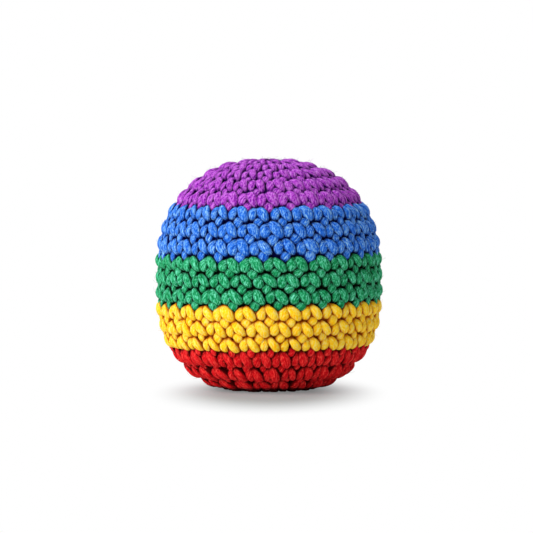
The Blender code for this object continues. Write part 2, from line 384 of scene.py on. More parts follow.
@dataclass
class Outline:
    """A half outline that is read by arc: two superellipses that meet at the widest level."""

    radius: float
    top: float
    widest: float = 27.0
    below: float = 27.8
    crown_fullness: float = 2.4
    base_fullness: float = 2.7
    steps: int = 1201
    softened: int = 20  # how many steps to each side the outward directions are evened over
    arcs: ndarray = field(init=False)
    points: ndarray = field(init=False)
    outward: ndarray = field(init=False)

    def __post_init__(self) -> None:
        """Draws the outline as many short runs and measures them."""
        turn = np.linspace(0, np.pi, self.steps)
        upper = turn < np.pi / 2
        fullness = np.where(upper, self.crown_fullness, self.base_fullness)
        reach = np.where(upper, self.top - self.widest, -self.below)
        level = self.widest + reach * np.abs(np.cos(turn)) ** (2 / fullness)
        out = self.radius * np.clip(np.sin(turn), 0, 1) ** (2 / fullness)
        drawn = np.stack([out, np.maximum(level, 0)], 1)
        runs = np.linalg.norm(np.diff(drawn, axis=0), axis=1)
        length = np.concatenate([[0], np.cumsum(runs)])
        self.arcs = np.linspace(0, length[-1], self.steps)
        self.points = np.stack([np.interp(self.arcs, length, drawn[:, i]) for i in (0, 1)], 1)
        tangent = np.gradient(self.points, axis=0)
        before = tangent[self.softened : 0 : -1] * (1, -1)
        after = tangent[-2 : -2 - self.softened : -1] * (1, -1)
        mirrored = np.concatenate([before, tangent, after])
        soft = np.hanning(2 * self.softened + 1)
        soft = soft / soft.sum()
        tangent = np.stack([np.convolve(mirrored[:, i], soft, "valid") for i in (0, 1)], 1)
        outward = np.stack([-tangent[:, 1], tangent[:, 0]], 1)
        self.outward = outward / np.linalg.norm(outward, axis=1, keepdims=True)

    @property
    def length(self) -> float:
        """The whole arc, from the top of the axis to its foot."""
        return float(self.arcs[-1])

    def radius_at(self, arc: ndarray | float) -> ndarray:
        """The outline's distance from the axis at an arc."""
        return np.interp(arc, self.arcs, self.points[:, 0])

    def place(
        self, arc: ndarray | float, angle: ndarray | float, depth: ndarray | float
    ) -> ndarray:
        """Turns places on the bag to points in space.

        Args:
            arc: Arcs in mm; one past an end of the axis comes out beyond the axis.
            angle: Angles round the axis.
            depth: Depths in mm below the outline; negative stands out.

        Returns:
            Points in mm, with the coordinates on the last axis.
        """
        inside = np.clip(arc, 0, self.length)
        past = np.minimum(arc, 0) + np.minimum(self.length - arc, 0)
        out_turn = np.interp(inside, self.arcs, self.outward[:, 0])
        up_turn = np.interp(inside, self.arcs, self.outward[:, 1])
        out = self.radius_at(inside) + past - depth * out_turn
        level = np.interp(inside, self.arcs, self.points[:, 1]) - depth * up_turn
        return round_axis(out, angle, level)


def node_middle(node: str) -> ndarray:
    """The middle of a CAD node's box, in mm."""
    low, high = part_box(node)
    return np.array((low + high) / 2) / MM


def settle(piece: Object, slot: str, *nodes: str) -> Object:
    """Lets a piece ride on the bag and stand for CAD nodes.

    Args:
        piece: The piece.
        slot: The name of a material slot; not used.
        nodes: The CAD nodes that it replaces.

    Returns:
        The same piece.
    """
    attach(piece, BODY)
    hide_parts(*nodes)
    log.info("%s: %d faces", piece.name, len(piece.data.polygons))
    return piece


def mesh_piece(
    name: str,
    points: ndarray,
    faces: list[ndarray],
    material: Material,
    values: dict[str, ndarray] | None = None,
    weld: bool = False,
) -> Object:
    """Makes a smooth-shaded object from arrays.

    Args:
        name: The piece's name.
        points: Points in mm, with the coordinates on the last axis.
        faces: Arrays of vertex numbers, one face to a row.
        material: What the piece is made of.
        values: Numbers or vectors for each point that the material reads.
        weld: True to join points that lie on each other, as at a pole.

    Returns:
        The object, linked to the scene.
    """
    points = points.reshape(-1, 3)
    corners = np.concatenate([rows.reshape(-1) for rows in faces]).astype(np.int32)
    sizes = np.concatenate([np.full(len(rows), rows.shape[1]) for rows in faces])
    starts = np.concatenate([[0], np.cumsum(sizes)[:-1]]).astype(np.int32)
    mesh = bpy.data.meshes.new(name)
    mesh.vertices.add(len(points))
    mesh.vertices.foreach_set("co", (points * MM).astype(np.float32).reshape(-1))
    mesh.loops.add(len(corners))
    mesh.loops.foreach_set("vertex_index", corners)
    mesh.polygons.add(len(sizes))
    mesh.polygons.foreach_set("loop_start", starts)
    mesh.update(calc_edges=True)
    for key, value in (values or {}).items():
        kind, slot = ("FLOAT_VECTOR", "vector") if value.size == points.size else ("FLOAT", "value")
        made = mesh.attributes.new(key, kind, "POINT")
        made.data.foreach_set(slot, value.astype(np.float32).reshape(-1))
    if weld:
        bm = bmesh.new()
        bm.from_mesh(mesh)
        bmesh.ops.remove_doubles(bm, verts=bm.verts, dist=1e-6)
        bmesh.ops.recalc_face_normals(bm, faces=bm.faces)
        bm.to_mesh(mesh)
        bm.free()
    mesh.shade_smooth()
    mesh.materials.append(material)
    return add_object(name, mesh)


def tube_faces(tubes: int, rings: int, sides: int) -> list[ndarray]:
    """The walls and the end faces of many tubes alike.

    Args:
        tubes: How many tubes there are.
        rings: How many rings each has.
        sides: How many points a ring has.

    Returns:
        The quads of the walls, and the end faces.
    """
    ring = np.arange(rings - 1)[:, None] * sides
    side = np.arange(sides)[None, :]
    after = (side + 1) % sides
    quads = np.stack([ring + side, ring + sides + side, ring + sides + after, ring + after], -1)
    start = np.arange(tubes)[:, None] * (rings * sides)
    walls = quads.reshape(1, -1) + start
    first = start + np.arange(sides)[None, :]
    last = start + (rings - 1) * sides + np.arange(sides)[None, ::-1]
    return [walls.reshape(-1, 4), np.concatenate([first, last])]


def turned_faces(rows: int, columns: int) -> list[ndarray]:
    """The quads of a grid rolled round the axis, its last row joined to the first.

    Args:
        rows: How many rows of points the grid has.
        columns: How many points a row has.

    Returns:
        The quads.
    """
    row = np.arange(rows)[:, None]
    column = np.arange(columns)[None, :]
    after_row = (row + 1) % rows * columns
    after = (column + 1) % columns
    row = row * columns
    quads = np.stack([row + column, after_row + column, after_row + after, row + after], -1)
    return [quads.reshape(-1, 4)]


def smooth_run(controls: ndarray, per_run: int = 2) -> ndarray:
    """Draws a smooth run through control points, many runs at once.

    Args:
        controls: Runs by control points by numbers.
        per_run: How many points each run between two controls gets.

    Returns:
        Runs by points by numbers.
    """
    count = controls.shape[1]
    place = np.linspace(0, count - 1, (count - 1) * per_run + 1)
    start = np.minimum(place.astype(int), count - 2)
    t = (place - start)[:, None]
    index = np.clip(start[:, None] + np.arange(-1, 3), 0, count - 1)
    weights = np.concatenate(
        [-t + 2 * t**2 - t**3, 2 - 5 * t**2 + 3 * t**3, t + 4 * t**2 - 3 * t**3, t**3 - t**2], 1
    )
    return np.einsum("tpkc,pk->tpc", controls[:, index], weights / 2)


def overhand(size: float, rise: float, gap: float, steps: int) -> ndarray:
    """The run of an overhand knot, flat and about a middle at zero.

    Args:
        size: The size of its loops.
        rise: How far the yarn rises and sinks where it crosses itself.
        gap: The turn left open between the two ends.
        steps: How many points the run has.

    Returns:
        Points: across, up and outwards.
    """
    turn = np.linspace(gap / 2, math.tau - gap / 2, steps)
    across = size * (np.sin(turn) + 2 * np.sin(2 * turn))
    up = size * (np.cos(turn) - 2 * np.cos(2 * turn))
    return np.stack([across, up, -rise * np.sin(3 * turn)], -1)


@dataclass
class Runs:
    """Runs of yarn, as rings of points, and what the yarn's material reads at each point."""

    points: ndarray
    run: ndarray
    shade_depth: ndarray

    def piece(self, name: str, material: Material) -> Object:
        """Makes one object of all the runs."""
        values = {"yarn_run": self.run, "yarn_shade_depth": self.shade_depth}
        return mesh_piece(name, self.points, tube_faces(*self.points.shape[:3]), material, values)


def joined(parts: list[Runs]) -> Runs:
    """Joins many runs of yarn into one set."""
    return Runs(*(np.concatenate(rows) for rows in zip(*((p.points, p.run, p.shade_depth) for p in parts))))


@dataclass(frozen=True)
class Strand:
    """How a strand of yarn is drawn: its plies, its twist and how fine its mesh is."""

    sides: int = 20
    plies: int = 3
    ply_depth: float = 0.045
    twist_per_mm: float = 0.42
    squareness: float = 2.0
    handed: int = 1

    def sweep(self, path: ndarray, radii: ndarray) -> tuple[ndarray, ndarray]:
        """Sweeps twisted rings along many paths at once.

        Args:
            path: Strands by points by coordinates.
            radii: Strands by points.

        Returns:
            Strands by rings by sides by coordinates, and as much again for where
            each point lies on its own yarn.
        """
        tangent = np.gradient(path, axis=1)
        tangent /= np.linalg.norm(tangent, axis=2, keepdims=True)
        steps = np.linalg.norm(np.diff(path, axis=1), axis=2)
        length = np.concatenate([np.zeros((len(path), 1)), np.cumsum(steps, 1)], 1)
        turn = self.handed * math.tau * np.arange(self.sides) / self.sides
        power = self.squareness
        bulge = (np.abs(np.cos(turn)) ** power + np.abs(np.sin(turn)) ** power) ** (-1 / power)
        across = np.cross(tangent[:, 0], (0.0, 0.0, 1.0))
        rings = []
        for ring in range(path.shape[1]):
            along = tangent[:, ring]
            across = across - along * np.sum(across * along, 1, keepdims=True)
            across = across / np.linalg.norm(across, axis=1, keepdims=True)
            up = np.cross(along, across)
            spoke = np.cos(turn)[:, None] * across[:, None] + np.sin(turn)[:, None] * up[:, None]
            lay = turn[None] + length[:, ring, None] * self.twist_per_mm
            reach = bulge * radii[:, ring, None] * (1 + self.ply_depth * np.cos(self.plies * lay))
            rings.append(path[:, ring, None] + spoke * reach[..., None])
        lay = turn + length[..., None] * self.twist_per_mm
        size = radii[..., None]
        lengthwise = np.broadcast_to(length[..., None], lay.shape)
        run = np.stack([np.cos(lay) * size, np.sin(lay) * size, lengthwise], -1)
        return np.stack(rings, 1), run

    def piece(
        self, name: str, path: ndarray, radii: ndarray, material: Material
    ) -> Object:
        """Builds one free run of yarn or thread.

        Args:
            name: The piece's name.
            path: The points that it follows.
            radii: Its radius at each point.
            material: What it is made of.

        Returns:
            The piece.
        """
        points, run = self.sweep(path[None], radii[None])
        return Runs(points, run, np.zeros(points.shape[:3])).piece(name, material)


@dataclass
class Round:
    """One round of stitches: where they stand and how each differs from the rest."""

    top_arc: float
    height: float
    tilt: float
    angles: ndarray
    draw: Generator
    sink: float = 0.0
    shift_mm: tuple[float, float] = (0.08, 0.04)
    turn: float = 0.06
    swell: float = 0.05
    most_swell: float = 0.15
    widths: ndarray = field(init=False)
    shifts: ndarray = field(init=False)
    turns: ndarray = field(init=False)
    sizes: ndarray = field(init=False)

    def __post_init__(self) -> None:
        """Measures the widths and settles each stitch's own place, lean and size."""
        count = len(self.angles)
        around = np.concatenate([self.angles[-1:] - math.tau, self.angles, self.angles[:1] + math.tau])
        self.widths = (around[2:] - around[:-2]) / 2
        self.shifts = self.draw.normal(size=(count, 1, 2)) * self.shift_mm
        self.turns = self.draw.normal(0, self.turn, (count, 1))
        swell = self.draw.normal(0, self.swell, (count, 1, 3))
        self.sizes = 1 + np.clip(swell, -self.most_swell, self.most_swell)


@dataclass(frozen=True)
class BandPlan:
    """How one colour is worked: its yarn, its rounds' counts and how its stitches swell."""

    finish: YarnFinish
    counts: tuple[int, ...]
    fibres: int = 700
    ground_front: float = 1.75
    flatness: float = 0.80
    leg_fullness: float = 1.0
    leg_share: float = 0.93
    loop_fullness: float = 1.0
    sink_mm: float = 0.0  # how much deeper the first round sits; it fades towards the last


@dataclass(frozen=True)
class LooseFibre:
    """How the fibres that come loose from a strand stand off it, in mm and shares."""

    length: tuple[float, float] = (0.5, 1.5)
    splay: float = 0.6
    lift: tuple[float, float] = (0.03, 0.22)
    end_lift: tuple[float, float] = (-0.3, 1.6)
    bends: tuple[tuple[float, float], ...] = ((0.7, 0.3), (1.0, 0.65))  # shares of lift and length
    rooted: float = 0.15
    radius: float = 0.025
    tip_share: float = 0.5
    above_floor: float = 0.01
    bare_rings: int = 3  # none stands on a lobe's hidden ends


@dataclass(frozen=True)
class Ground:
    """The close fabric that the lobes stand on: its depths, its ribs and its pockets for knots."""

    back: float = 3.85
    columns: int = 160
    row_mm: float = 0.8
    front_wave: float = 0.10
    front_bars: float = 0.06
    back_wave: float = 0.25
    back_bars: float = 0.4
    pocket_radius: float = 2.3
    pocket_edge: float = 1.0
    pocket_floor: float = 1.55
    pocket_wall: float = 0.45
    pole: float = 0.01


@dataclass
class YarnBand:
    """One colour of the bag: the lobes of its stitches over a close ground.

    Every lobe is its own short run of yarn, a little unlike its neighbours.
    """

    colour: Colour
    plan: BandPlan
    material: Material
    outline: Outline
    leg_rounds: list[Round]
    loop_rounds: list[Round]
    ends: tuple[float, float]
    pockets: list[tuple[float, float]]
    seed: int
    strand: Strand = Strand(squareness=2.4, handed=-1)
    fibre: LooseFibre = LooseFibre()
    ground: Ground = Ground()
    stitch_width: float = 4.8
    stitch_height: float = 4.05
    stitch_middle: float = 2.2
    sway_mm: float = 0.08
    swell: float = 0.05
    room_limits: tuple[float, float] = (0.4, 1.25)
    # how much of a point's depth goes into its painted shade
    shade_depth_share: float = 0.6
    furthest_start: float = 400.0  # each strand begins elsewhere in the yarn's pattern

    def lobes(self, kind: Lobe, one: Round, draw: Generator) -> Runs:
        """Draws one kind of lobe for every stitch of a round.

        Args:
            kind: Which lobe.
            one: The round.
            draw: The source of small differences.

        Returns:
            The lobes, placed on the bag.
        """
        plan = self.plan
        count = len(one.angles)
        rows = np.array(kind.value)[None].repeat(count, 0)
        rows[..., :2] = (rows[..., :2] - (0, self.stitch_middle)) * one.sizes[..., :2]
        if kind is not Lobe.LOOP:
            rows[..., 1] *= plan.leg_share
        x, y = rows[..., 0].copy(), rows[..., 1].copy()
        rows[..., 0] = x * np.cos(one.turns) - y * np.sin(one.turns)
        rows[..., 1] = x * np.sin(one.turns) + y * np.cos(one.turns) + self.stitch_middle
        rows[..., :2] += one.shifts + draw.normal(0, self.sway_mm, (count, 1, 2))
        rows[..., :3] += draw.normal(0, self.sway_mm / 2, rows[..., :3].shape)
        rows[..., 3] *= one.sizes[..., 2] * (1 + draw.normal(0, self.swell, (count, 1)))
        room = one.widths * self.outline.radius_at(one.top_arc + one.height / 2)
        room = room / self.stitch_width * one.height / self.stitch_height
        fullness = plan.loop_fullness if kind is Lobe.LOOP else plan.leg_fullness
        rows[..., 3] *= fullness * np.clip(room, *self.room_limits)[:, None] ** 0.5
        drawn = smooth_run(rows)
        rings, run = self.strand.sweep(drawn[..., :3] * (1, 1, -1), drawn[..., 3])
        middle = -drawn[..., 2, None]
        depth = -(middle + (rings[..., 2] - middle) * plan.flatness)
        arc = one.top_arc + rings[..., 1] * one.height / self.stitch_height
        angle = one.angles[:, None, None]
        arc = arc - one.tilt * np.cos(angle)
        angle = angle + rings[..., 0] * (one.widths / self.stitch_width)[:, None, None]
        points = self.outline.place(arc, angle, depth + one.sink)
        points[..., 2] = np.maximum(points[..., 2], 0)
        run = run + draw.uniform(0, self.furthest_start, (count, 1, 1, 1))
        # The painted shade's depth: a share of the point's depth, plus how far it lies below its own ring's
        # crest.
        shade_depth = self.shade_depth_share * depth + depth - depth.min(2, keepdims=True)
        return Runs(points, run, shade_depth)

    def fuzz(self, points: ndarray, draw: Generator) -> Runs:
        """Lets loose fibres stand off the strands.

        Args:
            points: The points of the lobes that they stand on.
            draw: The source of where and how they stand.

        Returns:
            The fibres.
        """
        fibre = self.fibre
        tubes, rings, sides = points.shape[:3]
        count = self.plan.fibres
        tube = draw.integers(0, tubes, count)
        ring = draw.integers(fibre.bare_rings, rings - fibre.bare_rings - 1, count)
        side = draw.integers(0, sides, count)
        root = points[tube, ring, side]
        off = root - points[tube, ring].mean(1)
        off /= np.linalg.norm(off, axis=1, keepdims=True)
        along = points[tube, ring + 1, side] - root
        along /= np.linalg.norm(along, axis=1, keepdims=True)
        length = draw.uniform(*fibre.length, (count, 1))
        lean = along * draw.choice([-1, 1], (count, 1))
        lean = lean + np.cross(off, along) * draw.normal(0, fibre.splay, (count, 1))
        lift = off * draw.uniform(*fibre.lift, (count, 1))
        controls = [root - off * fibre.rooted]
        controls += [root + lift * up + lean * length * out for up, out in fibre.bends]
        controls.append(root + lift * draw.uniform(*fibre.end_lift, (count, 1)) + lean * length)
        path = smooth_run(np.stack(controls, 1))
        radii = np.full(path.shape[:2], fibre.radius) * np.linspace(1, fibre.tip_share, path.shape[1])
        made, run = Strand(sides=3, ply_depth=0).sweep(path, radii)
        made[..., 2] = np.maximum(made[..., 2], fibre.above_floor)
        run = run + draw.uniform(0, self.furthest_start, (count, 1, 1, 1))
        return Runs(made, run, np.zeros(made.shape[:3]))

    def build_ground(self, name: str) -> Object:
        """Builds the close fabric that the lobes stand on, with its wrong side inside.

        Args:
            name: The piece's name.

        Returns:
            The piece.
        """
        ground = self.ground
        first, last = self.ends
        count = max(2, round((last - first) / ground.row_mm))
        arc = np.linspace(first, last, count)[:, None]
        angle = math.tau * np.arange(ground.columns)[None] / ground.columns
        wave = np.cos(math.tau * (arc - first) / self.leg_rounds[0].height)
        bars = np.cos(angle * len(self.leg_rounds[-1].angles))
        ribs = 1 - ground.back_bars + ground.back_bars * bars
        front = self.plan.ground_front + ground.front_wave * wave + ground.front_bars * bars
        back = ground.back - ground.back_wave * (1 + wave) * ribs / 2
        for at_arc, at_angle in self.pockets:
            pocket = self.outline.place(at_arc, at_angle, 0.0)
            away = np.linalg.norm(self.outline.place(arc, angle, 0.0) - pocket, axis=-1)
            near = np.clip(ground.pocket_radius + ground.pocket_edge - away, 0, 1)
            near = near * near * (3 - 2 * near)
            back = back + (ground.pocket_floor - back) * near
            front = front + (ground.pocket_floor - ground.pocket_wall - front) * near
        arcs = np.concatenate([arc, arc[::-1]])
        depth = np.concatenate([front, back[::-1]])
        tilt = np.interp(arcs, (first, last), (self.leg_rounds[0].tilt, self.leg_rounds[-1].tilt))
        inner = (arcs > ground.pole) & (arcs < self.outline.length - ground.pole)
        points = self.outline.place(arcs - tilt * np.cos(angle) * inner, angle, depth)
        points[..., 2] = np.maximum(points[..., 2], 0)
        run = np.stack(np.broadcast_arrays(arcs, angle * self.outline.radius, depth), -1)
        # The ground lies deep, so its painted shade darkens it wholly to the crevice shade colour.
        values = {"yarn_run": run, "yarn_shade_depth": depth}
        faces = turned_faces(*points.shape[:2])
        return mesh_piece(name, points, faces, self.material, values, weld=True)

    def build(self) -> list[Object]:
        """Builds and dresses the band.

        Returns:
            Its pieces.
        """
        draw = np.random.default_rng(self.seed)
        sides = (Lobe.LEFT_LEG, Lobe.RIGHT_LEG)
        legs = joined([self.lobes(kind, one, draw) for one in self.leg_rounds for kind in sides])
        loops = joined([self.lobes(Lobe.LOOP, one, draw) for one in self.loop_rounds])
        name = self.colour.value
        pieces = [
            legs.piece(name + "_legs", self.material),
            loops.piece(name + "_loops", self.material),
            self.build_ground(name + "_ground"),
            self.fuzz(legs.points, draw).piece(name + "_fuzz", self.material),
        ]
        for piece in pieces:
            settle(piece, self.plan.finish.name, name)
        for piece in pieces[:3]:
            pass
        stitches = sum(len(one.angles) for one in self.leg_rounds)
        log.info("%s: %d stitches in %d rounds", name, stitches, len(self.leg_rounds))
        return pieces


@dataclass
class YarnEnds:
    """The knots behind the colour changes, and the tail of the starting ring."""

    slots: dict[Colour, str]
    materials: dict[Colour, Material]
    inside: Outline
    knot_colours: dict[str, Colour]
    knot_angle: float
    strand: Strand = Strand(sides=15, ply_depth=0.10, twist_per_mm=1.3)
    loop_mm: float = 0.50
    rise_mm: float = 0.58
    end_gap: float = math.radians(24)
    knot_yarn: float = 0.29
    knot_steps: int = 90
    tail_from: float = 4.0
    tail_to: float = 9.5
    tail_turns: float = 1.3
    tail_depth: float = 0.9
    tail_yarn: float = 0.60
    tail_steps: int = 150
    cut_share: float = 0.55
    cut_steps: int = 4

    def yarn(self, name: str, path: ndarray, radius: float, colour: Colour) -> Object:
        """Builds one run of yarn whose cut ends taper.

        Args:
            name: The piece's name.
            path: The points that it follows.
            radius: The yarn's radius.
            colour: Which yarn it is.

        Returns:
            The piece.
        """
        steps = np.arange(len(path))
        taper = np.clip(np.minimum(steps, steps[::-1]) / self.cut_steps, 0, 1)
        radii = radius * (self.cut_share + (1 - self.cut_share) * taper**0.5)
        return self.strand.piece(name, path, radii, self.materials[colour])

    def knot_path(self, node: str) -> ndarray:
        """The run of an overhand knot pulled flat, where the CAD has it.

        Args:
            node: The CAD node of the knot.

        Returns:
            Points in space.
        """
        middle = node_middle(node)
        cosine, sine = math.cos(self.knot_angle), math.sin(self.knot_angle)
        if node == "closing_knot":
            outward = np.array((0.0, 0.0, -1.0))
        else:
            nearest = np.abs(self.inside.points[:, 1] - middle[2]).argmin()
            side, rise = self.inside.outward[nearest]
            outward = np.array((side * cosine, side * sine, rise))
        across = np.array((-sine, cosine, 0.0))
        run = overhand(self.loop_mm, self.rise_mm, self.end_gap, self.knot_steps)
        return middle + run @ np.stack([across, np.cross(outward, across), outward])

    def build(self) -> list[Object]:
        """Builds the knots and the tail.

        Returns:
            Their pieces.
        """
        pieces = []
        for node, colour in self.knot_colours.items():
            piece = self.yarn(node + "_yarn", self.knot_path(node), self.knot_yarn, colour)
            pieces.append(settle(piece, self.slots[colour], node))
        along = np.linspace(0, 1, self.tail_steps)
        arc = self.tail_from + (self.tail_to - self.tail_from) * along
        angle = math.tau * self.tail_turns * along
        path = self.inside.place(arc, angle, self.tail_depth)
        tail = self.yarn("start_tail_yarn", path, self.tail_yarn, Colour.PURPLE)
        pieces.append(settle(tail, self.slots[Colour.PURPLE], "start_tail"))
        return pieces


@dataclass(frozen=True)
class Creases:
    """The creases of thin film: slanting waves round it, added up."""

    depth_mm: float = 0.34
    waves: int = 9
    around: tuple[int, int] = (3, 17)
    slant: tuple[float, float] = (0.15, 0.75)
    latest_start: float = 6.0
    gain: float = 1.5
    left_out: float = 0.45
    seed: int = 5

    def depth(self, arc: ndarray, angle: ndarray) -> ndarray:
        """How far the film is pushed in.

        Args:
            arc: Arcs down the pouch.
            angle: Angles round it.

        Returns:
            Depths between none and depth_mm.
        """
        draw = np.random.default_rng(self.seed)
        total = np.zeros(np.broadcast(arc, angle).shape)
        for _ in range(self.waves):
            round_it, down_it = draw.integers(*self.around), draw.uniform(*self.slant)
            way = round_it * angle + draw.choice([-1, 1]) * down_it * arc
            total += np.abs(np.sin(way + draw.uniform(0, self.latest_start)))
        return self.depth_mm * np.clip(total / self.waves * self.gain - self.left_out, 0, 1)


@dataclass(frozen=True)
class TieThread:
    """The thread that ties the pouch: wound round the neck in two layers, and knotted."""

    radius: float = 0.25
    inner_turns: float = 3.0
    outer_turns: float = 2.0
    pitch: float = 2.1  # this and the next two are in thread radii
    seat: float = 1.4
    layer: float = 1.75
    crossing: float = 0.35
    loose_turns: float = 0.2
    end_mm: float = 2.6
    end_drop: float = 0.8
    end_power: float = 1.3
    steps_per_turn: int = 34
    knot_mm: float = 0.34
    knot_rise: float = 0.391
    knot_gap: float = 0.30
    knot_steps: int = 80
    strand: Strand = Strand(sides=12, ply_depth=0.12, twist_per_mm=3.0)

    def winding(self, middle: ndarray, neck: float) -> ndarray:
        """The thread's run: round the neck in two layers, with both ends let out.

        Args:
            middle: The middle of the CAD's tie.
            neck: The radius that it is wound on.

        Returns:
            Points in space.
        """
        turns = self.inner_turns + self.outer_turns
        place = np.linspace(-self.loose_turns, turns + self.loose_turns, round(self.steps_per_turn * turns))
        over = np.clip((place - self.inner_turns) / self.crossing + 0.5, 0, 1)
        out = neck + self.seat * self.radius + self.layer * self.radius * over * over * (3 - 2 * over)
        past = (np.maximum(-place, 0) + np.maximum(place - turns, 0)) / self.loose_turns
        out = out + self.end_mm * past**self.end_power
        step = self.pitch * self.radius
        rise = np.interp(place, (0, self.inner_turns, turns), (-step, step, -step / 2))
        rise = rise - self.end_drop * past
        return middle + round_axis(out, math.pi + math.tau * place, rise)

    def build(self, neck: float, material: Material) -> list[Object]:
        """Builds the winding and its knot.

        Args:
            neck: The radius that the thread is wound on.
            material: What it is made of.

        Returns:
            The two pieces.
        """
        middle = node_middle("liner_tie")
        beside = middle - (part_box("liner_tie")[1][0] / MM + self.radius, 0, 0)
        knot = overhand(self.knot_mm, self.knot_rise, self.knot_gap, self.knot_steps)[:, [2, 0, 1]]
        runs = {"liner_tie_thread": self.winding(middle, neck), "liner_tie_knot": knot + beside}
        return [
            self.strand.piece(name, path, np.full(len(path), self.radius), material)
            for name, path in runs.items()
        ]


@dataclass
class InnerPouch:
    """The thin film pouch that holds the pellets, gathered and tied at its neck."""

    film: FilmFinish
    thread: YarnFinish
    outline: Outline
    tie: TieThread = TieThread()
    creases: Creases = Creases()
    wall: float = 0.12
    columns: int = 168
    rows: int = 60
    inset: float = 0.05
    neck_radius: float = 1.85
    mouth_radius: float = 2.25
    neck_length: float = 3.1
    neck_rows: int = 6
    gathered_mm: float = 5.0
    pleats: int = 14
    pleat_mm: float = 0.16
    half_pleat_share: float = 0.4
    half_pleat_turn: float = 1.0
    neck_pleat_share: float = 0.6

    def build_film(self) -> Object:
        """Builds the film: a pleated neck, a creased body and a thin wall.

        Returns:
            The piece.
        """
        shoulder = float(self.outline.arcs[np.argmax(self.outline.points[:, 0] >= self.neck_radius)])
        arc = np.linspace(shoulder, self.outline.length, self.rows)[:, None]
        angle = math.tau * np.arange(self.columns)[None] / self.columns
        half_pleats = np.cos(2 * self.pleats * angle + self.half_pleat_turn)
        fold = np.cos(self.pleats * angle) + self.half_pleat_share * half_pleats
        near = np.exp(-(arc - shoulder) / self.gathered_mm)
        depth = self.inset + self.creases.depth(arc, angle) * (1 - near)
        depth = depth + self.pleat_mm * near * (1 + fold)
        share = np.linspace(1, 0, self.neck_rows + 1)[:-1, None]
        flare = np.abs(share - 0.5) * 2
        radius = self.neck_radius + (self.mouth_radius - self.neck_radius) * flare**2
        radius = radius + self.pleat_mm * fold * self.neck_pleat_share * (1 + flare)
        skins = [self.outline.place(arc, angle, depth + wall) for wall in (0.0, self.wall)]
        rise = skins[0][0, :, 2].mean() + share * self.neck_length
        necks = [round_axis(out, angle, rise) for out in (radius, radius - self.wall)]
        outer, inner = (np.concatenate(rows) for rows in zip(necks, skins))
        points = np.concatenate([outer, inner[::-1]])
        faces = turned_faces(*points.shape[:2])
        return mesh_piece("liner_pouch_film", points, faces, self.film.material(), weld=True)

    def build(self) -> list[Object]:
        """Builds the pouch, its tie and the tie's knot.

        Returns:
            Their pieces.
        """
        thread = self.thread.material()
        film = settle(self.build_film(), self.film.name, "liner_pouch")
        threads = self.tie.build(self.mouth_radius, thread)
        for piece in threads:
            settle(piece, self.thread.name, "liner_tie")
        log.info("pouch: film %.2f mm, thread %.1f mm thick", self.wall, 2 * self.tie.radius)
        return [film, *threads]


